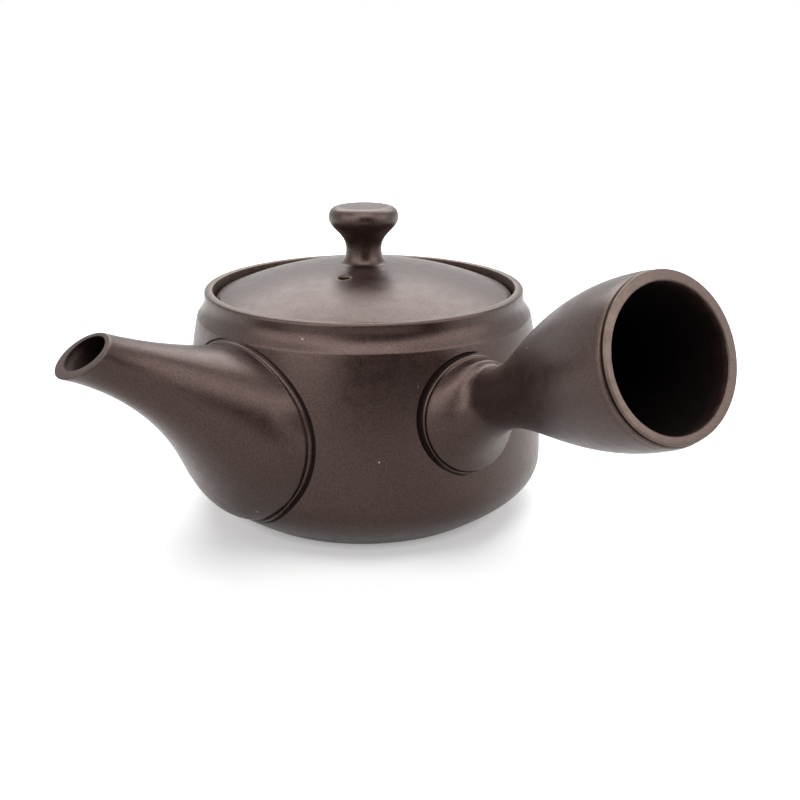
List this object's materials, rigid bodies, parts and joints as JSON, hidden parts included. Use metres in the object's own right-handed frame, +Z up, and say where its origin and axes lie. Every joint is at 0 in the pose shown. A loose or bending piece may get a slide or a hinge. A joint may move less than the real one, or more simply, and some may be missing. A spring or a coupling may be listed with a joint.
{
  "type": "teapot",
  "caption": "Side-handled clay teapot with a wide-based curved spout, a pierced strainer behind it, a hollow flared handle and a loose domed lid with a knob.",
  "frame": {"origin": "centre of the flat foot, on the plane that the pot stands on", "axes": "+Z up along the pot's axis, -X towards the spout, the handle towards -Y and a little towards -X"},
  "size_m": [0.1522, 0.1772, 0.089],
  "materials": {
    "clay": "unglazed dark brown clay, burnished to a satin sheen, with fine grain",
    "clay_lid": "unglazed dark brown clay, burnished to a satin sheen, with fine grain",
    "clay_strainer": "unglazed dark brown clay, matt"
  },
  "bodies": {
    "pot": {"body": "clay", "spout": "clay", "handle": "clay", "strainer": "clay_strainer"},
    "lid": {"lid": "clay_lid", "knob": "clay_lid"}
  },
  "joints": [
    {"name": "lid_lift", "type": "slide", "parent": "pot", "child": "lid", "axis": [0, 0, 1], "range_m": [0, 0.06]}
  ]
}
